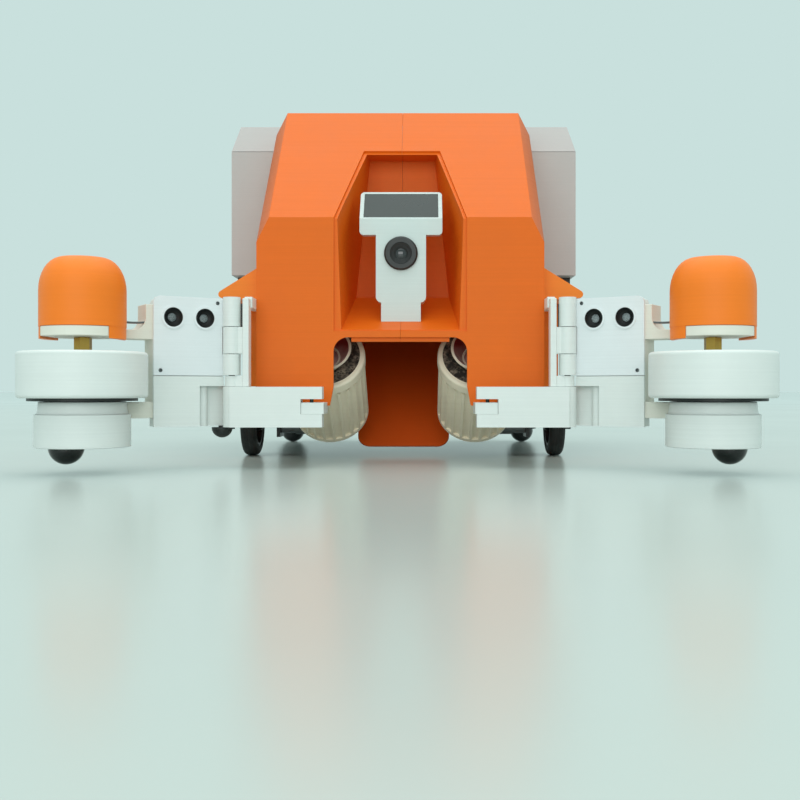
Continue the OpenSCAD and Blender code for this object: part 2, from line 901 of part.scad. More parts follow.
// Spoked wheel hub with its axle
module wheel_hub(side) {
    boss_r = 8.5;
    rim_half = wheel_w / 2 - 0.75;
    web_half = 2.2;
    inner_end = wheel_w / 2 + 2.3;
    outer_end = wheel_w / 2 + 3.5;
    color("#34383A")
        on_side(side)
            translate([wheel_x, wheel_y, wheel_r])
                rotate([0, 90, 0]) {
                    difference() {
                        translate([0, 0, -rim_half])
                            cylinder(r = 24, h = 2 * rim_half);
                        for (z = [-web_half - 7, web_half])
                            translate([0, 0, z])
                                difference() {
                                    cylinder(r = 21, h = 7);
                                    translate([0, 0, -1])
                                        cylinder(r = boss_r, h = 9);
                                }
                        for (a = [0:60:300])
                            rotate([0, 0, a])
                                translate([14.5, 0, -12])
                                    cylinder(r = 4.5, h = 24);
                    }
                    rotate_extrude()
                        polygon([[0, -inner_end], [7, -inner_end], [boss_r, 1.3 - inner_end],
                            [boss_r, outer_end - 3], [6.5, outer_end], [0, outer_end]]);
                    translate([0, 0, 99 - wheel_x])
                        cylinder(r = 2.5, h = wheel_x - 99);
                }
}

module wheel_hub_left() { wheel_hub(-1); }
module wheel_hub_right() { wheel_hub(1); }

// Fluted intake drum, open at the rear, with a smooth front rim and a flared dish
module drum(side) {
    body_len = drum_len - drum_band;
    round_r = 2.5;
    pocket = [5, 2.6, 3.6];
    color("#B5AD9B")
        on_side(side)
            drum_frame() {
                difference() {
                    union() {
                        difference() {
                            cylinder(r = drum_body_r, h = body_len + 0.1);
                            for (i = [0:drum_flutes - 1])
                                rotate([0, 0, i * 360 / drum_flutes])
                                    translate([drum_body_r + drum_flute_r - drum_flute_depth, 0,
                                        drum_rear_band])
                                        cylinder(r = drum_flute_r, h = body_len - drum_rear_band);
                            for (i = [0:drum_flutes - 1])
                                rotate([0, 0, (i + 0.5) * 360 / drum_flutes])
                                    translate([drum_body_r - 3.5, -pocket.y / 2, body_len - 4])
                                        cube(pocket);
                        }
                        translate([0, 0, body_len])
                            rotate_extrude() {
                                square([drum_r, drum_band - round_r]);
                                square([drum_r - round_r, drum_band]);
                                translate([drum_r - round_r, drum_band - round_r])
                                    circle(round_r);
                            }
                    }
                    translate([0, 0, -1])
                        cylinder(r = drum_r - 7, h = 54);
                    translate([0, 0, drum_len - 3])
                        cylinder(r = 31, h = 10);
                    translate([0, 0, drum_len - 6])
                        cylinder(r = 12, h = 10);
                }
                translate([0, 0, drum_len])
                    rotate_extrude()
                        polygon([[12, -3.5], [15, -3.5], [drum_dish_r, drum_dish_out],
                            [drum_dish_r - 2.2, drum_dish_out], [12, -6.1]]);
            }
    color("#9EA3A5")
        on_side(side)
            drum_frame()
                translate([0, 0, 32])
                    cylinder(r = 2.5, h = 30);
}

module drum_left() { drum(-1); }
module drum_right() { drum(1); }

// Dark grip ring set into the front of a drum
module grip_ring(side) {
    color("#1E1C1A")
        on_side(side)
            drum_frame()
                translate([0, 0, drum_len - 2.95])
                    difference() {
                        cylinder(r = 30.95, h = 2.2);
                        translate([0, 0, -1])
                            cylinder(r = 18, h = 5);
                    }
}

module grip_ring_left() { grip_ring(-1); }
module grip_ring_right() { grip_ring(1); }

// Outline of the sensor box seen from its front, with a cut outer top corner
module box_outline(x0, x1, z0) {
    polygon([[x0, z0], [x1, z0], [x1, box_top_z - 5], [x1 - 1.5, box_top_z - 1.5],
        [x1 - 5, box_top_z], [x0, box_top_z]]);
}

// Hollow sensor box with its hinge knuckles and the solid lower block
module sensor_box(side) {
    back_y = panel_y + box_depth;
    skin_y = panel_y + panel_t;
    pillar_r = 4.5;
    color("#E4ECEA")
        on_side(side)
            arm_frame()
                difference() {
                    union() {
                        translate([0, back_y, 0])
                            rotate([90, 0, 0])
                                linear_extrude(box_depth - panel_t - 0.05)
                                    box_outline(box_start, box_end - 4, band_z);
                        box([block_start, panel_y, block_z], [box_end - 4, back_y, band_z]);
                        box([block_start, panel_y, block_z],
                            [box_end, skin_y, panel_z - 0.5]);
                        box([box_start, panel_y, band_z], [box_end - 4, panel_y + 4, panel_z - 0.5]);
                        box([-4, 12, block_z], [block_start + 1, 20, band_z + 0.1]);
                        translate([block_start - pillar_r, 12, block_z])
                            cylinder(r = pillar_r, h = band_z - block_z + 0.1);
                        for (z = arm_knuckle_z)
                            translate([0, 0, z[0]]) {
                                cylinder(r = knuckle_r, h = z[1] - z[0]);
                                box([0, skin_y + 0.05, 0], [9, 12, min(z[1], box_top_z) - z[0]]);
                            }
                    }
                    box([box_start + 2.5, panel_y + 1, panel_z + 2],
                        [box_end - 6.5, back_y - 2.5, box_top_z - 2.5]);
                    translate([0, 0, arm_knuckle_z[0][1]])
                        cylinder(r = knuckle_r + 0.6, h = arm_knuckle_z[1][0] - arm_knuckle_z[0][1]);
                    translate([0, 0, 60])
                        cylinder(r = bore_r, h = 90);
                    for (p = panel_screws())
                        translate([p.x, panel_y + 8, p.y])
                            rotate([90, 0, 0])
                                cylinder(r = 0.9, h = 6);
                }
}

module sensor_box_left() { sensor_box(-1); }
module sensor_box_right() { sensor_box(1); }

// Places of the two panel screws: inner top and outer bottom
function panel_screws() = [[box_start + 5, box_top_z - 4], [box_end - 5.5, panel_z + 4]];

// Front panel of the sensor box, with two raised eye rims
module sensor_panel(side) {
    rim_r = 9.4;
    eyes = [for (e = [-0.5, 0.5]) eye_x + e * eye_pitch];
    color("#EEF5F3")
        on_side(side)
            arm_frame()
                difference() {
                    union() {
                        translate([0, panel_y + panel_t, 0])
                            rotate([90, 0, 0])
                                linear_extrude(panel_t)
                                    box_outline(box_start, box_end, panel_z);
                        for (x = eyes)
                            translate([x, panel_y + 0.1, eye_z])
                                rotate([90, 0, 0])
                                    cylinder(r = rim_r, h = 0.9);
                    }
                    for (x = eyes)
                        translate([x, panel_y + 9, eye_z])
                            rotate([90, 0, 0])
                                cylinder(r = eye_hole_r, h = 12);
                    translate([0, 0, arm_knuckle_z[0][1]])
                        cylinder(r = knuckle_r + 0.6, h = arm_knuckle_z[1][0] - arm_knuckle_z[0][1]);
                    for (z = arm_knuckle_z)
                        translate([0, 0, z[0] - 1])
                            cylinder(r = knuckle_r + 0.05, h = z[1] - z[0] + 2);
                    for (p = panel_screws())
                        translate([p.x, panel_y + 8, p.y])
                            rotate([90, 0, 0])
                                cylinder(r = 1.6, h = 12);
                }
}

module sensor_panel_left() { sensor_panel(-1); }
module sensor_panel_right() { sensor_panel(1); }

// Ultrasonic module: circuit board and two metal cans
module sensor_cans(side) {
    can_r = 8;
    can_len = 11.4;
    board_y = panel_y + 14;
    color("#8A9498")
        on_side(side)
            arm_frame() {
                box([eye_x - 22, board_y, eye_z - 10], [eye_x + 22, board_y + 1.6, eye_z + 10]);
                for (e = [-0.5, 0.5])
                    translate([eye_x + e * eye_pitch, board_y + 0.1, eye_z])
                        rotate([90, 0, 0])
                            difference() {
                                cylinder(r = can_r, h = can_len);
                                translate([0, 0, can_len - 1])
                                    cylinder(r = 6.6, h = 2);
                            }
            }
}

module sensor_cans_left() { sensor_cans(-1); }
module sensor_cans_right() { sensor_cans(1); }

// C-shaped yoke: end wall of the box, motor plate above the disc and arm below it
module arm_yoke(side) {
    wall_x = [box_end - 3.95, box_end];
    y0 = panel_y + panel_t + 0.05;
    y1 = panel_y + box_depth;
    top = motor_plate_z[1];
    gusset_x = box_end + 5.5;
    fillet_r = 9.5;
    color("#DDE3DC")
        on_side(side)
            arm_frame()
                difference() {
                    union() {
                        box([wall_x[0], y0, 41], [wall_x[1], y1, 130]);
                        box([wall_x[0], y0, motor_plate_z[0]], [arm_len, y0 + 14, top]);
                        translate([arm_len, disc_axis_y, motor_plate_z[0]])
                            intersection() {
                                cylinder(r = dome_r - 0.3, h = top - motor_plate_z[0]);
                                rotate([0, 0, arm_angle])
                                    box([-motor_plate_half_w, -40, 0], [motor_plate_half_w, 40, 20]);
                            }
                        translate([0, y1, 0])
                            rotate([90, 0, 0])
                                linear_extrude(y1 - y0)
                                    difference() {
                                        polygon([[wall_x[0], motor_plate_z[0]],
                                            [gusset_x + fillet_r, motor_plate_z[0]],
                                            [gusset_x + fillet_r, top + fillet_r],
                                            [gusset_x, top + fillet_r], [gusset_x, 130],
                                            [wall_x[0], 130]]);
                                        translate([gusset_x + fillet_r, top + fillet_r])
                                            circle(fillet_r);
                                    }
                        box([wall_x[0], y0, 41], [arm_len - 30, y0 + 17, 53.6]);
                    }
                    translate([arm_len, disc_axis_y, 90])
                        cylinder(r = 4, h = 30);
                    translate([arm_len, disc_axis_y, 20])
                        cylinder(r = cup_r + 0.05, h = neck_z - 20 + 0.05);
                    translate([arm_len, disc_axis_y, neck_z])
                        cylinder(r = neck_r + 0.9, h = 10);
                }
}

module arm_yoke_left() { arm_yoke(-1); }
module arm_yoke_right() { arm_yoke(1); }

// Offset of the roller ball from the disc axis: straight out to the side of the car
function ball_offset() = 12.5 * [cos(arm_angle), sin(arm_angle)];

// Neck and lower cup under a disc, with the ball's socket
module lower_cup(side) {
    neck_h = neck_top_z - neck_z;
    color("#E4ECEA")
        on_side(side)
            disc_frame()
                difference() {
                    union() {
                        translate([0, 0, cup_z])
                            cylinder(r = cup_r, h = neck_z - cup_z);
                        translate([0, 0, neck_z])
                            rotate_extrude()
                                polygon([[0, 0], [neck_r + 0.8, 0], [neck_r, 2],
                                    [neck_r - 0.6, neck_h], [0, neck_h]]);
                    }
                    translate([ball_offset().x, ball_offset().y, tip_ball_r + tip_ball_gap])
                        sphere(r = tip_ball_r + body_gap);
                }
}

module lower_cup_left() { lower_cup(-1); }
module lower_cup_right() { lower_cup(1); }

module tip_ball(side) {
    color("#1E2422")
        on_side(side)
            disc_frame()
                translate([ball_offset().x, ball_offset().y, tip_ball_r + tip_ball_gap])
                    sphere(r = tip_ball_r);
}

module tip_ball_left() { tip_ball(-1); }
module tip_ball_right() { tip_ball(1); }

// Section of the dome cap: straight side, elliptical shoulder made of points, flat top
function dome_section(r, top, side_top, bottom) = concat(
    [[0, bottom], [r, bottom]],
    [for (a = [0:10:90])
        [r - (r - 15) * (1 - cos(a)), side_top + (top - side_top) * sin(a)]],
    [[0, top]]);

// Orange dome cap over a disc motor, with two side tabs
module dome_cap(side) {
    bottom = motor_plate_z[1] + 0.2;
    tab_bottom = 101;
    tab_x = motor_plate_half_w + 0.2;
    color("#F07A30")
        on_side(side)
            disc_frame()
                difference() {
                    union() {
                        rotate_extrude()
                            polygon(dome_section(dome_r, dome_top_z, 137, bottom));
                        difference() {
                            translate([0, 0, tab_bottom])
                                cylinder(r = dome_r - 0.3, h = bottom - tab_bottom + 0.1);
                            rotate([0, 0, arm_angle])
                                box([-tab_x, -40, 90], [tab_x, 40, 120]);
                        }
                    }
                    translate([0, 0, bottom - 1])
                        rotate_extrude()
                            polygon(dome_section(dome_r - 2.4, dome_top_z - bottom - 1.4, 27, -2));
                }
}

module dome_cap_left() { dome_cap(-1); }
module dome_cap_right() { dome_cap(1); }

// Disc motor, standing on the motor plate under the dome
module disc_motor(side) {
    color("#9EA3A5")
        on_side(side)
            disc_frame()
                difference() {
                    union() {
                        translate([0, 0, motor_plate_z[1]])
                            cylinder(r = 18.5, h = 20);
                        translate([0, 0, motor_plate_z[1] + 20])
                            cylinder(r = 14, h = 24);
                    }
                    translate([0, 0, 100])
                        cylinder(r = 3 + run_gap, h = 24);
                }
}

module disc_motor_left() { disc_motor(-1); }
module disc_motor_right() { disc_motor(1); }

// Two short motor leads, from the dome to the gusset of the yoke
module motor_leads(side) {
    lead_r = 0.8;
    lead_x = [67, 88.5];
    color("#B3261E")
        on_side(side)
            arm_frame()
                for (y = [8, 10.4])
                    translate([lead_x[0], y, 116])
                        rotate([0, 90, 0])
                            cylinder(r = lead_r, h = lead_x[1] - lead_x[0], $fn = 16);
}

module motor_leads_left() { motor_leads(-1); }
module motor_leads_right() { motor_leads(1); }

// Hollow sweeping disc with rounded rims, a top web and a central boss
module disc(side) {
    h = disc_top_z - disc_z;
    color("#E9F1EF")
        on_side(side)
            disc_frame()
                translate([0, 0, disc_z])
                    difference() {
                        rotate_extrude()
                            difference() {
                                union() {
                                    square([disc_r - 3, h]);
                                    translate([0, 2.5])
                                        square([disc_r, h - 5]);
                                    for (z = [2.5, h - 2.5])
                                        translate([disc_r - 2.5, z])
                                            circle(2.5);
                                }
                                translate([10, -1])
                                    square([disc_r - 14, h - 4]);
                            }
                        translate([0, 0, h - 12])
                            cylinder(r = coupler_flat / 2 / cos(30) + 0.02, h = 20, $fn = 6);
                    }
}

module disc_left() { disc(-1); }
module disc_right() { disc(1); }

// Thin dark plate under a disc
module disc_plate(side) {
    color("#2B2F2E")
        on_side(side)
            disc_frame()
                translate([0, 0, disc_z - plate_under_t])
                    cylinder(r = 39.8, h = plate_under_t);
}

module disc_plate_left() { disc_plate(-1); }
module disc_plate_right() { disc_plate(1); }

// Brass hexagon coupler with the motor's output shaft
module coupler(side) {
    color("#B39A5A")
        on_side(side)
            disc_frame() {
                translate([0, 0, disc_top_z - 12])
                    cylinder(r = coupler_flat / 2 / cos(30), h = motor_plate_z[0] - 0.4 - disc_top_z + 12,
                        $fn = 6);
                translate([0, 0, disc_top_z])
                    cylinder(r = 3, h = 30);
            }
}

module coupler_left() { coupler(-1); }
module coupler_right() { coupler(1); }

shell_left();
shell_right();
shoulder_wings();
chassis_plate();
ball_ramp();
hopper_floor();
rear_body();
hopper_lid();
camera_post();
display_window();
camera_module();
camera_lens();
hinge_brackets();
hinge_pins();
bumper_bars();
arm_foot_left();
bar_links();
drive_motors();
drum_motors();
motor_brackets();
caster_housings();
battery_pack();
control_board();
switch_socket();
power_switch();
assembly_screws();
tyre_left();
tyre_right();
wheel_hub_left();
wheel_hub_right();
drum_left();
drum_right();
grip_ring_left();
grip_ring_right();
sensor_box_left();
sensor_box_right();
sensor_panel_left();
sensor_panel_right();
sensor_cans_left();
sensor_cans_right();
arm_yoke_left();
arm_yoke_right();
lower_cup_left();
lower_cup_right();
dome_cap_left();
dome_cap_right();
disc_motor_left();
disc_motor_right();
motor_leads_left();
motor_leads_right();
disc_left();
disc_right();
disc_plate_left();
disc_plate_right();
coupler_left();
coupler_right();
tip_ball_left();
tip_ball_right();
caster_ball_left();
caster_ball_right();
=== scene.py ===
import json
import math

import bmesh
import bpy
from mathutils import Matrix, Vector


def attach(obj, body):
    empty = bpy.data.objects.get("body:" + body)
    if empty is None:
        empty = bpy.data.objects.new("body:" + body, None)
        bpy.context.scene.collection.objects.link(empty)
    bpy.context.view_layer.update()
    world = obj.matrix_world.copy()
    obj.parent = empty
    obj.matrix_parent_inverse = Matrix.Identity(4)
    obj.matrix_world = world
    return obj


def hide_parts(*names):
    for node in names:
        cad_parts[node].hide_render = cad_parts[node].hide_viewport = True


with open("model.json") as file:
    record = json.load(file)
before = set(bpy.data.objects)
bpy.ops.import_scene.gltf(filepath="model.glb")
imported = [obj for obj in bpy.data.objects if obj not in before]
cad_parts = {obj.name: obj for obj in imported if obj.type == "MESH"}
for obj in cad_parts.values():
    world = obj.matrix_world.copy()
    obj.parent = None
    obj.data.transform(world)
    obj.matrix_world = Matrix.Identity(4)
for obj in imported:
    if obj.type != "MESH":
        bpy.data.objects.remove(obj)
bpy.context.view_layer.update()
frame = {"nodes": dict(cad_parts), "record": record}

MM = 0.001
NODES = frame["nodes"]
SIDES = {"left": -1, "right": 1}

# Camera: level and square to the car, low in front of it and a little to its right
CAMERA_PLACE = (0.018, -0.979, 0.063)
LENS_MM = 45.0
SHIFT_X = -0.0274
SHIFT_Y = -0.0125

# Joint axes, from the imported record
JOINTS = {j["name"]: j for j in frame["record"]["behaviour"]["joints"]}

# Arm frame, in millimetres: X runs out along the arm and -Y faces forward, from the hinge axis
ARM_ANGLE = math.radians(32)
PANEL_FRONT = 3.7
EYES = (21.15, 47.15)
EYE_Z = 120.5
PANEL_SCREWS = ((10.5, 133.0), (57.3, 78.5))

# Motor leads in the arm frame: ends, height, the hang of the middle, thickness, and each one's Y
LEAD_ENDS = (67.0, 88.5)
LEAD_Z = 116.0
LEAD_SAG = 0.7
LEAD_RADIUS = 0.8
LEADS = ((8.0, "lead_grey"), (10.4, "red"))

# Camera lens on the post, and the intake drums, in millimetres
LENS_Z = 180.0
POST_FRONT = -122.0
DRUM_LENGTH = 88.0

# Steps round a turned piece
TURN_STEPS = 48
LENS_STEPS = 64
SCREW_STEPS = 24


# ---------------------------------------------------------------- node helpers

class Graph:
    """Small helper that builds a shader graph on one material."""

    def __init__(self, name):
        self.material = bpy.data.materials.new(name)
        self.material.use_nodes = True
        self.tree = self.material.node_tree
        self.shader = self.tree.nodes["Principled BSDF"]
        self.coords = self.node("ShaderNodeTexCoord").outputs["Object"]

    def node(self, kind, **settings):
        made = self.tree.nodes.new(kind)
        for key, value in settings.items():
            setattr(made, key, value)
        return made

    def link(self, source, target):
        self.tree.links.new(source, target)

    def math(self, operation, a, b=None, clamp=False):
        made = self.node("ShaderNodeMath", operation=operation, use_clamp=clamp)
        for index, value in enumerate((a, b)):
            if value is None:
                continue
            if isinstance(value, (int, float)):
                made.inputs[index].default_value = value
            else:
                self.link(value, made.inputs[index])
        return made.outputs[0]

    def scaled(self, vector, scale):
        made = self.node("ShaderNodeMapping")
        made.inputs["Scale"].default_value = scale
        self.link(vector, made.inputs["Vector"])
        return made.outputs["Vector"]

    def noise(self, scale, detail=3.0, rough=0.5, stretch=None):
        made = self.node("ShaderNodeTexNoise")
        made.inputs["Scale"].default_value = scale
        made.inputs["Detail"].default_value = detail
        made.inputs["Roughness"].default_value = rough
        source = self.coords if stretch is None else self.scaled(self.coords, stretch)
        self.link(source, made.inputs["Vector"])
        return made.outputs["Fac"]

    def voronoi(self, scale):
        made = self.node("ShaderNodeTexVoronoi", feature="F1")
        made.inputs["Scale"].default_value = scale
        self.link(self.coords, made.inputs["Vector"])
        return made.outputs["Distance"]

    def remap(self, value, low, high, start=0.0, end=1.0):
        made = self.node("ShaderNodeMapRange")
        made.inputs["From Min"].default_value = start
        made.inputs["From Max"].default_value = end
        made.inputs["To Min"].default_value = low
        made.inputs["To Max"].default_value = high
        self.link(value, made.inputs["Value"])
        return made.outputs["Result"]

    def mix(self, factor, a, b):
        made = self.node("ShaderNodeMix", data_type="RGBA")
        self.link(factor, made.inputs["Factor"])
        for socket, value in ((made.inputs[6], a), (made.inputs[7], b)):
            if isinstance(value, tuple):
                socket.default_value = (*value[:3], 1.0)
            else:
                self.link(value, socket)
        return made.outputs[2]

    def axis(self, name):
        made = self.node("ShaderNodeSeparateXYZ")
        self.link(self.coords, made.inputs["Vector"])
        return made.outputs[name]

    def colour(self, source):
        self.link(source, self.shader.inputs["Base Color"])

    def roughness(self, source):
        self.link(source, self.shader.inputs["Roughness"])

    def bump(self, height, strength, distance):
        made = self.node("ShaderNodeBump")
        made.inputs["Strength"].default_value = strength
        made.inputs["Distance"].default_value = distance
        self.link(height, made.inputs["Height"])
        self.link(made.outputs["Normal"], self.shader.inputs["Normal"])

    def set(self, **sockets):
        names = {"specular": "Specular IOR Level", "coat": "Coat Weight", "metal": "Metallic"}
        for key, value in sockets.items():
            self.shader.inputs[names[key]].default_value = value


def srgb(code):
    """Linear colour of a web colour such as '#DB6822'."""
    values = [int(code[i:i + 2], 16) / 255 for i in (1, 3, 5)]
    return tuple(v / 12.92 if v <= 0.04045 else ((v + 0.055) / 1.055) ** 2.4 for v in values)


def shade(colour, factor):
    return tuple(min(1.0, c * factor) for c in colour)


# ------------------------------------------------------------------- materials

# Height of a printed layer, pitch of the tread grooves and of the transducer mesh
LAYER = 0.28 * MM
TREAD_PITCH = 2.5 * MM
MESH_PITCH = 0.55 * MM


def printed(name, code, rough=0.42, layer_bump=0.35, specular=0.4):
    """Printed plastic: fine layer lines, uneven bands, mottled sheen and faint scuffs."""
    g = Graph(name)
    base = srgb(code)
    bands = g.noise(1.0, detail=2.0, stretch=(6.0, 6.0, 700.0))
    mottle = g.noise(38.0, detail=4.0, rough=0.6)
    scuffs = g.remap(g.noise(240.0, detail=6.0, rough=0.7), 0.0, 1.0, 0.60, 0.74)
    tone = g.mix(mottle, shade(base, 0.95), shade(base, 1.04))
    tone = g.mix(g.remap(bands, 0.0, 0.5, 0.35, 0.75), tone, shade(base, 0.93))
    g.colour(g.mix(g.math("MULTIPLY", scuffs, 0.14), tone, shade(base, 1.2)))
    g.roughness(g.math("ADD", g.remap(mottle, rough - 0.05, rough + 0.06),
                       g.remap(bands, -0.03, 0.05)))
    lines = g.math("SINE", g.math("MULTIPLY", g.axis("Z"), 2 * math.pi / LAYER))
    height = g.math("ADD", g.math("MULTIPLY", lines, 0.5),
                    g.math("ADD", g.math("MULTIPLY", bands, 1.2),
                           g.math("MULTIPLY", mottle, 0.6)))
    g.bump(height, layer_bump, 0.06 * MM)
    g.set(specular=specular)
    return g.material


def moulded(name, code, rough=0.35, grain=900.0, coat=0.0):
    """Moulded or turned plastic and rubber with a fine grain."""
    g = Graph(name)
    base = srgb(code)
    fine = g.noise(grain, detail=3.0)
    wide = g.noise(40.0, detail=3.0)
    g.colour(g.mix(wide, shade(base, 0.8), shade(base, 1.25)))
    g.roughness(g.remap(g.math("ADD", fine, wide), rough - 0.1, rough + 0.1, 0.6, 1.4))
    g.bump(fine, 0.25, 0.04 * MM)
    g.set(coat=coat)
    return g.material


def metal(name, code, rough=0.32):
    """Turned or brushed metal with fine drawn lines and dull patches."""
    g = Graph(name)
    base = srgb(code)
    drawn = g.noise(1.0, detail=4.0, stretch=(30.0, 30.0, 900.0))
    dull = g.noise(90.0, detail=4.0, rough=0.6)
    g.colour(g.mix(dull, shade(base, 0.82), shade(base, 1.08)))
    g.roughness(g.math("ADD", g.remap(drawn, rough - 0.08, rough + 0.08),
                       g.remap(dull, -0.05, 0.08)))
    g.bump(drawn, 0.2, 0.02 * MM)
    g.set(metal=1.0)
    return g.material


def marbled_grip():
    """Grip ring: dark brown rubber crumb, marbled with paler grains."""
    g = Graph("grip_crumb")
    crumb = g.voronoi(420.0)
    veins = g.noise(150.0, detail=6.0, rough=0.7)
    tone = g.mix(g.remap(veins, 0.0, 1.0, 0.42, 0.62), srgb("#221B17"), srgb("#8A7B6C"))
    g.colour(g.mix(g.remap(crumb, 0.0, 1.0, 0.1, 0.6), srgb("#120E0C"), tone))
    g.roughness(g.remap(veins, 0.55, 0.85))
    g.bump(g.math("ADD", crumb, veins), 0.6, 0.35 * MM)
    return g.material


def tread_rubber():
    """Tyre rubber with fine grooves round the tread and dusty patches."""
    g = Graph("tyre_tread")
    dust = g.noise(60.0, detail=5.0, rough=0.65)
    grooves = g.math("SINE", g.math("MULTIPLY", g.axis("X"), 2 * math.pi / TREAD_PITCH))
    g.colour(g.mix(g.remap(dust, 0.0, 1.0, 0.45, 0.7), srgb("#171918"), srgb("#343836")))
    g.roughness(g.remap(dust, 0.55, 0.8))
    g.bump(g.math("ADD", g.math("MULTIPLY", grooves, 0.6), dust), 0.5, 0.3 * MM)
    return g.material


def dish_plastic():
    """Pale low down, turning to red higher up."""
    g = Graph("dish_liner")
    spin = JOINTS["drum_left_spin"]
    middle = spin["pos_m"][2] + spin["axis"][2] * DRUM_LENGTH * MM
    height = g.remap(g.axis("Z"), 0.0, 1.0, middle - 12 * MM, middle + 10 * MM)
    cloud = g.noise(160.0, detail=3.0)
    g.colour(g.mix(g.math("ADD", height, g.remap(cloud, -0.15, 0.15), clamp=True),
                   srgb("#F3DDD6"), srgb("#9E2F2C")))
    g.roughness(g.remap(cloud, 0.3, 0.45))
    g.bump(cloud, 0.2, 0.04 * MM)
    g.set(specular=0.4)
    return g.material


def mesh_metal():
    """Fine wire mesh over the face of an ultrasonic transducer."""
    g = Graph("transducer_mesh")
    pitch = 2 * math.pi / MESH_PITCH
    wires = g.math("MULTIPLY", g.math("SINE", g.math("MULTIPLY", g.axis("X"), pitch)),
                   g.math("SINE", g.math("MULTIPLY", g.axis("Z"), pitch)))
    g.colour(g.mix(g.remap(wires, 0.0, 1.0, -0.4, 0.6), srgb("#23282A"), srgb("#B9C2C4")))
    g.roughness(g.remap(g.noise(500.0), 0.3, 0.5))
    g.bump(wires, 0.6, 0.1 * MM)
    g.set(metal=0.8)
    return g.material


def build_materials():
    return {
        "orange": printed("orange_print", "#E96A10", rough=0.45, specular=0.25),
        # Wings: the orange painted lighter and yellower, painted top light
        "wing_top_lit": printed("wing_print_top_lit", "#F8862A", rough=0.45, specular=0.25),
        "ramp": printed("ramp_print", "#EC5C18", rough=0.45, specular=0.2),
        "white": printed("white_print", "#E3E8E5", rough=0.38, layer_bump=0.25),
        "panel": printed("panel_print", "#E6EBED", rough=0.34, layer_bump=0.2),
        "yoke": printed("yoke_print", "#E6E4D8", rough=0.42, layer_bump=0.25),
        # Camera post: the white painted darker and greener, painted shade
        "post": printed("post_print_shaded", "#CFDBD8", rough=0.38, layer_bump=0.25),
        "grey": printed("grey_print", "#C0BCBA", rough=0.5),
        "lid": printed("lid_print", "#BFBAB8", rough=0.48),
        "beige": printed("beige_print", "#FDF0D8", rough=0.5),
        "black": moulded("black_plastic", "#1E2221", rough=0.42),
        "plate": moulded("plate_composite", "#2B2D2C", rough=0.5, grain=500.0),
        "window": moulded("display_glass", "#222D2A", rough=0.3, grain=60.0, coat=0.0),
        "motor": metal("motor_steel", "#A7ABAD"),
        "can": metal("sensor_can", "#5C6669", rough=0.28),
        "mesh": mesh_metal(),
        "pin": metal("pin_steel", "#3C4140", rough=0.4),
        "screw": metal("screw_steel", "#8A8F90", rough=0.3),
        "brass": metal("brass", "#BE9A4E", rough=0.3),
        "tyre": tread_rubber(),
        "grip": marbled_grip(),
        "ball": moulded("ball_plastic", "#0E1211", rough=0.16, grain=60.0, coat=0.3),
        "battery": moulded("battery_wrap", "#24447F", rough=0.3, grain=80.0, coat=0.3),
        "board": moulded("circuit_board", "#17603A", rough=0.35, grain=300.0),
        "red": moulded("red_plastic", "#8E211C", rough=0.35, grain=400.0),
        "lead_grey": moulded("lead_grey", "#5A5F60", rough=0.4, grain=400.0),
        # Transducer bowl: near black, partly dark mesh and partly painted shade on the can's
        # metal rim
        "bowl": moulded("transducer_bowl_dark_and_shaded", "#090B0B", rough=0.45, grain=200.0),
        # Dome caps: the orange painted lighter, painted top light
        "dome": printed("dome_print_top_lit", "#FF8222", rough=0.42, specular=0.3),
        "dish": dish_plastic(),
        "lens": moulded("lens_glass", "#06080D", rough=0.05, grain=40.0, coat=1.0),
    }


SLOT_MATERIAL = {
    "orange_plastic": "orange", "ramp_plastic": "ramp", "white_plastic": "white",
    "grey_plastic": "grey", "beige_plastic": "beige", "black_plastic": "black",
    "plate_composite": "plate", "window": "window", "lens": "lens", "motor_metal": "motor",
    "sensor_metal": "can", "pin_steel": "pin", "screw_steel": "screw", "brass": "brass",
    "tyre_rubber": "tyre", "grip_rubber": "grip", "ball_plastic": "ball",
    "battery_wrap": "battery", "circuit_board": "board", "switch_red": "red",
    "lead_insulation": "red",
}


# Nodes given their own tone of their slot's colour: the wings and dome caps are the orange
# painted lighter, as painted top light; the camera post is the white painted darker, as painted
# shade; the panels, yokes and lid differ a little from the rest of their slot
NODE_MATERIAL = {
    "shoulder_wings": "wing_top_lit", "hopper_lid": "lid", "dome_cap_left": "dome",
    "dome_cap_right": "dome", "camera_post": "post", "sensor_panel_left": "panel",
    "sensor_panel_right": "panel", "arm_yoke_left": "yoke", "arm_yoke_right": "yoke",
}

# Printed nodes whose edges are softened, with the width of the rounding in millimetres
SOFT_EDGES = {
    "shell_left": 0.9, "shell_right": 0.9, "shoulder_wings": 0.8, "rear_body": 0.9,
    "hopper_lid": 1.2, "camera_post": 0.7, "bumper_bars": 0.7, "bar_links": 0.5,
    "hinge_brackets": 0.5, "sensor_box_left": 0.6, "sensor_box_right": 0.6,
    "sensor_panel_left": 0.5, "sensor_panel_right": 0.5, "arm_yoke_left": 0.6,
    "arm_yoke_right": 0.6, "lower_cup_left": 0.7, "lower_cup_right": 0.7,
    "ball_ramp": 0.5, "dome_cap_left": 0.5, "dome_cap_right": 0.5,
}


def dress_nodes(materials):
    """Gives every CAD node the material of its slot, or its own shade of it."""
    for part in frame["record"]["subparts"]:
        name = part["node"]
        target = NODES[name]
        choice = NODE_MATERIAL.get(name, SLOT_MATERIAL[part["material_slot"]])
        target.data.materials.clear()
        target.data.materials.append(materials[choice])


# Vertices nearer than this are welded; faces flatter than this are joined; edges sharper
# than this are rounded
WELD_GAP = 0.002 * MM
FLAT_ANGLE = math.radians(0.4)
ROUNDED_ANGLE = math.radians(38)


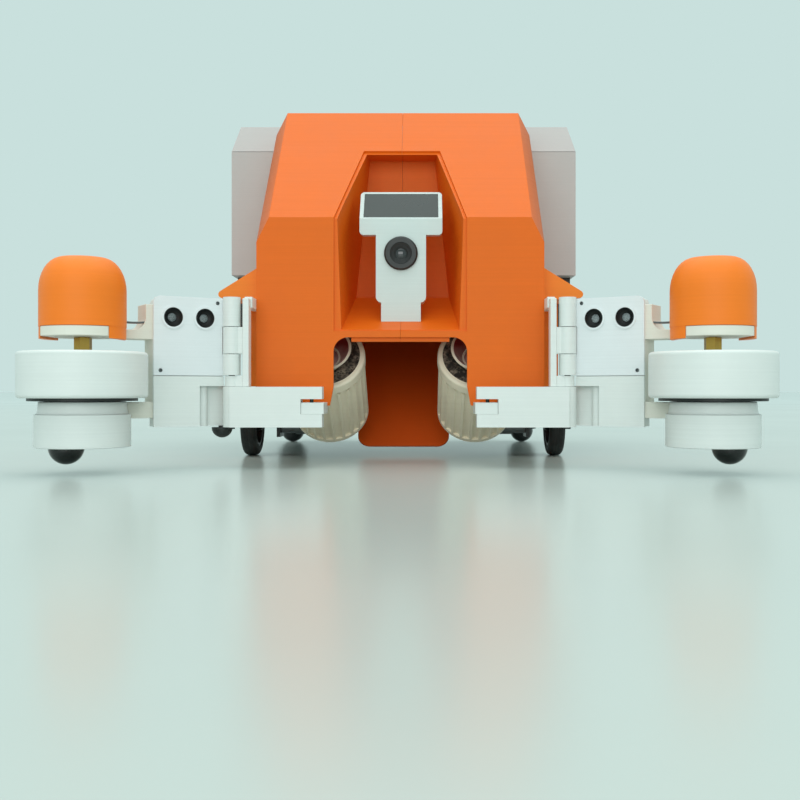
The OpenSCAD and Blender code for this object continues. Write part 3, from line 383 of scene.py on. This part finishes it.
def soften_edges():
    """Rounds the sharp printed edges with modifiers; the CAD meshes stay as they are."""
    for name, width in SOFT_EDGES.items():
        target = NODES[name]
        weld = target.modifiers.new("weld", "WELD")
        weld.merge_threshold = WELD_GAP
        flat = target.modifiers.new("flat", "DECIMATE")
        flat.decimate_type = "DISSOLVE"
        flat.angle_limit = FLAT_ANGLE
        bevel = target.modifiers.new("bevel", "BEVEL")
        bevel.width = width * MM
        bevel.segments = 2
        bevel.limit_method = "ANGLE"
        bevel.angle_limit = ROUNDED_ANGLE
        bevel.use_clamp_overlap = True
        normals = target.modifiers.new("normals", "WEIGHTED_NORMAL")
        normals.keep_sharp = False


# ---------------------------------------------------------------- small pieces

SHARP_ANGLE = math.radians(35)


def arm_point(side, x, y, z):
    """Point of an arm's frame, in millimetres, in the row frame."""
    hinge = JOINTS[f"arm_{side}_swing"]["pos_m"]
    along, across = math.cos(ARM_ANGLE), math.sin(ARM_ANGLE)
    return Vector((hinge[0] + SIDES[side] * (x * along + y * across) * MM,
                   hinge[1] + (y * along - x * across) * MM, z * MM))


def make_piece(name, verts, faces, material, body, slot):
    """Mesh piece that rides on a body; edges sharper than SHARP_ANGLE stay sharp."""
    mesh = bpy.data.meshes.new(name)
    mesh.from_pydata([tuple(v) for v in verts], [], faces)
    work = bmesh.new()
    work.from_mesh(mesh)
    bmesh.ops.recalc_face_normals(work, faces=work.faces)
    work.to_mesh(mesh)
    work.free()
    mesh.shade_smooth()
    mesh.set_sharp_from_angle(angle=SHARP_ANGLE)
    mesh.materials.append(material)
    piece = bpy.data.objects.new(name, mesh)
    bpy.context.scene.collection.objects.link(piece)
    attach(piece, body)
    return piece


def turned(profile, place, steps=TURN_STEPS, ring=False):
    """Vertices and faces of a turned form from (radius, depth) points.

    place(u, v, depth) gives each vertex. A ring's last point joins its first one; any other
    form is closed by a cap at each end.
    """
    verts = []
    for radius, depth in profile:
        for i in range(steps):
            turn = 2 * math.pi * i / steps
            verts.append(place(radius * math.cos(turn), radius * math.sin(turn), depth))
    faces = []
    for row in range(len(profile) - 1):
        for i in range(steps):
            j = (i + 1) % steps
            faces.append((row * steps + i, row * steps + j,
                          (row + 1) * steps + j, (row + 1) * steps + i))
    last = (len(profile) - 1) * steps
    if ring:
        faces += [(last + i, last + (i + 1) % steps, (i + 1) % steps, i) for i in range(steps)]
    else:
        faces += [tuple(row + i for i in range(steps)) for row in (0, last)]
    return verts, faces


def make_eyes(materials):
    """Dark bowl and mesh face inside each ultrasonic can; the bowl's near-black is partly
    painted shade on the can's metal rim.
    """
    bowl = [(7.6, 3.35), (7.2, 3.15), (6.9, 3.5), (6.3, 4.6), (5.0, 6.1), (3.9, 6.9),
            (3.5, 7.2), (3.5, 7.35), (7.6, 7.35)]
    face = [(3.45, 7.3), (3.45, 6.9), (3.2, 6.55), (2.2, 6.35), (0.9, 6.3), (0.02, 6.3)]
    for side in SIDES:
        for index, eye in enumerate(EYES):
            def place(u, v, depth, side=side, eye=eye):
                return arm_point(side, eye + u, depth, EYE_Z + v)
            make_piece(f"eye_bowl_{side}_{index}", *turned(bowl, place, ring=True),
                       materials["bowl"], f"arm_{side}", "sensor_metal")
            make_piece(f"eye_mesh_{side}_{index}", *turned(face, place), materials["mesh"],
                       f"arm_{side}", "sensor_metal")


def make_panel_screws(materials):
    """Pan-head screws with a cross recess at two corners of each sensor panel."""
    arm, half_slot, face_depth, recess_depth, taper = 1.05, 0.22, -0.14, 0.7, 0.8
    head = [(0.8, 2.2), (1.5, 1.2), (1.5, 0.3), (1.3, 0.0), (1.15, -0.12), (1.1, face_depth)]
    steps = SCREW_STEPS
    for side in SIDES:
        for index, (x, z) in enumerate(PANEL_SCREWS):
            def place(u, v, depth, side=side, x=x, z=z):
                return arm_point(side, x + u, PANEL_FRONT + depth, z + v)
            verts, faces = turned(head, place, steps)
            faces.pop()
            cross = []
            for quarter in range(4):
                turn = quarter * math.pi / 2
                for u, v in ((arm, -half_slot), (arm, half_slot), (half_slot, half_slot)):
                    cross.append((u * math.cos(turn) - v * math.sin(turn),
                                  u * math.sin(turn) + v * math.cos(turn)))
            first = len(verts)
            count = len(cross)
            verts += [place(u, v, face_depth) for u, v in cross]
            verts += [place(u * taper, v * taper, recess_depth) for u, v in cross]
            faces += [(first + i, first + (i + 1) % count, first + count + (i + 1) % count,
                       first + count + i) for i in range(count)]
            faces.append(tuple(first + count + i for i in range(count)))
            rim = (len(head) - 1) * steps
            for i in range(steps):
                j = (i + 1) % steps
                near = first + min(range(count), key=lambda k: (
                    verts[first + k] - verts[rim + i]).length)
                faces.append((rim + i, rim + j, near))
            make_piece(f"panel_screw_{side}_{index}", verts, faces, materials["screw"],
                       f"arm_{side}", "screw_steel")


def make_leads(materials):
    """Two thin leads per arm, grey and red, held at the gusset and at the dome."""
    steps, rings = 12, 17
    for side in SIDES:
        for lead_y, tone in LEADS:
            verts, faces = [], []
            for ring in range(rings):
                t = ring / (rings - 1)
                x = LEAD_ENDS[0] + t * (LEAD_ENDS[1] - LEAD_ENDS[0])
                sag = LEAD_SAG * math.sin(math.pi * t)
                for i in range(steps):
                    turn = 2 * math.pi * i / steps
                    verts.append(arm_point(side, x, lead_y + LEAD_RADIUS * math.cos(turn),
                                           LEAD_Z - sag + LEAD_RADIUS * math.sin(turn)))
            for ring in range(rings - 1):
                for i in range(steps):
                    j = (i + 1) % steps
                    faces.append((ring * steps + i, ring * steps + j,
                                  (ring + 1) * steps + j, (ring + 1) * steps + i))
            faces += [tuple(range(steps)), tuple((rings - 1) * steps + i for i in range(steps))]
            make_piece(f"{tone}_wire_{side}", verts, faces, materials[tone],
                                     f"arm_{side}", "lead_insulation")
        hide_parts(f"motor_leads_{side}")
        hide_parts(f"motor_leads_{side}")


def make_dish_liners(materials):
    """Coloured liner inside the flared dish of each drum."""
    profile = [(21.6, 9.9), (12.0, -5.7), (2.0, -5.75), (2.0, -5.9), (12.1, -5.9),
               (21.75, 9.9)]
    for side in SIDES:
        axis = Vector(JOINTS[f"drum_{side}_spin"]["axis"])
        start = Vector(JOINTS[f"drum_{side}_spin"]["pos_m"])
        across, up = Vector((1.0, 0.0, 0.0)), axis.cross(Vector((1.0, 0.0, 0.0)))

        def place(u, v, depth, start=start, axis=axis, across=across, up=up):
            return start + (across * u + up * v + axis * (DRUM_LENGTH + depth)) * MM
        make_piece(f"dish_liner_{side}", *turned(profile, place, ring=True),
                   materials["dish"], f"drum_{side}", "beige_plastic")


def make_camera_rings(materials):
    """Stepped retaining ring round the camera glass."""
    def place(u, v, depth):
        return Vector((u * MM, (POST_FRONT + depth) * MM, (LENS_Z + v) * MM))
    profile = [(9.3, 0.2), (9.3, -2.9), (8.9, -3.1), (8.5, -2.7), (8.2, -2.7), (7.9, -2.4),
               (7.4, -1.6), (7.1, -1.6), (6.6, -1.0), (6.3, -1.0), (5.6, -0.2), (4.7, 0.2)]
    make_piece("lens_retaining_ring", *turned(profile, place, LENS_STEPS, ring=True),
               materials["black"], "chassis", "black_plastic")


# ------------------------------------------------------------------------ stage

def make_camera():
    data = bpy.data.cameras.new("camera")
    data.lens = LENS_MM
    data.sensor_width = 36.0
    data.shift_x = SHIFT_X
    data.shift_y = SHIFT_Y
    data.clip_end = 30.0
    camera = bpy.data.objects.new("camera", data)
    camera.location = CAMERA_PLACE
    camera.rotation_euler = (math.pi / 2, 0.0, 0.0)
    bpy.context.scene.collection.objects.link(camera)
    bpy.context.scene.camera = camera


def make_floor():
    mesh = bpy.data.meshes.new("floor")
    half = 30.0
    mesh.from_pydata([(-half, -half, 0), (half, -half, 0), (half, half, 0), (-half, half, 0)],
                     [], [(0, 1, 2, 3)])
    floor = bpy.data.objects.new("floor", mesh)
    bpy.context.scene.collection.objects.link(floor)
    g = Graph("floor")
    wide = g.noise(2.5, detail=3.0)
    near = g.mix(wide, srgb("#B9C1BC"), srgb("#C0C8C3"))
    across, along = (g.math("POWER", g.axis(name), 2.0) for name in "XY")
    distance = g.math("SQRT", g.math("ADD", across, along))
    far = g.remap(distance, 0.0, 1.0, 0.8, 5.0)
    g.colour(g.mix(far, near, srgb("#EFF5F3")))
    g.roughness(g.remap(wide, 0.20, 0.26))
    g.set(specular=0.5)
    mesh.materials.append(g.material)


def make_light(name, location, target, size, power):
    data = bpy.data.lights.new(name, "AREA")
    data.shape = "RECTANGLE"
    data.size, data.size_y = size
    data.energy = power
    light = bpy.data.objects.new(name, data)
    light.location = location
    aim = Vector(target) - Vector(location)
    light.rotation_euler = aim.to_track_quat("-Z", "Y").to_euler()
    bpy.context.scene.collection.objects.link(light)


def make_world():
    world = bpy.data.worlds.new("studio")
    bpy.context.scene.world = world
    world.use_nodes = True
    background = world.node_tree.nodes["Background"]
    background.inputs["Color"].default_value = (*srgb("#C9E0DD"), 1.0)
    background.inputs["Strength"].default_value = 1.0


def make_stage():
    make_world()
    make_floor()
    make_light("top", (0.0, -0.2, 3.0), (0, 0, 0), (4.0, 4.0), 68.0)
    make_light("front", (-0.2, -2.6, 0.75), (0, 0, 0.15), (2.2, 1.2), 18.0)


def main():
    make_camera()
    bpy.context.scene.view_settings.view_transform = "Standard"
    materials = build_materials()
    dress_nodes(materials)
    soften_edges()
    make_eyes(materials)
    make_panel_screws(materials)
    make_leads(materials)
    make_camera_rings(materials)
    make_dish_liners(materials)
    make_stage()


main()
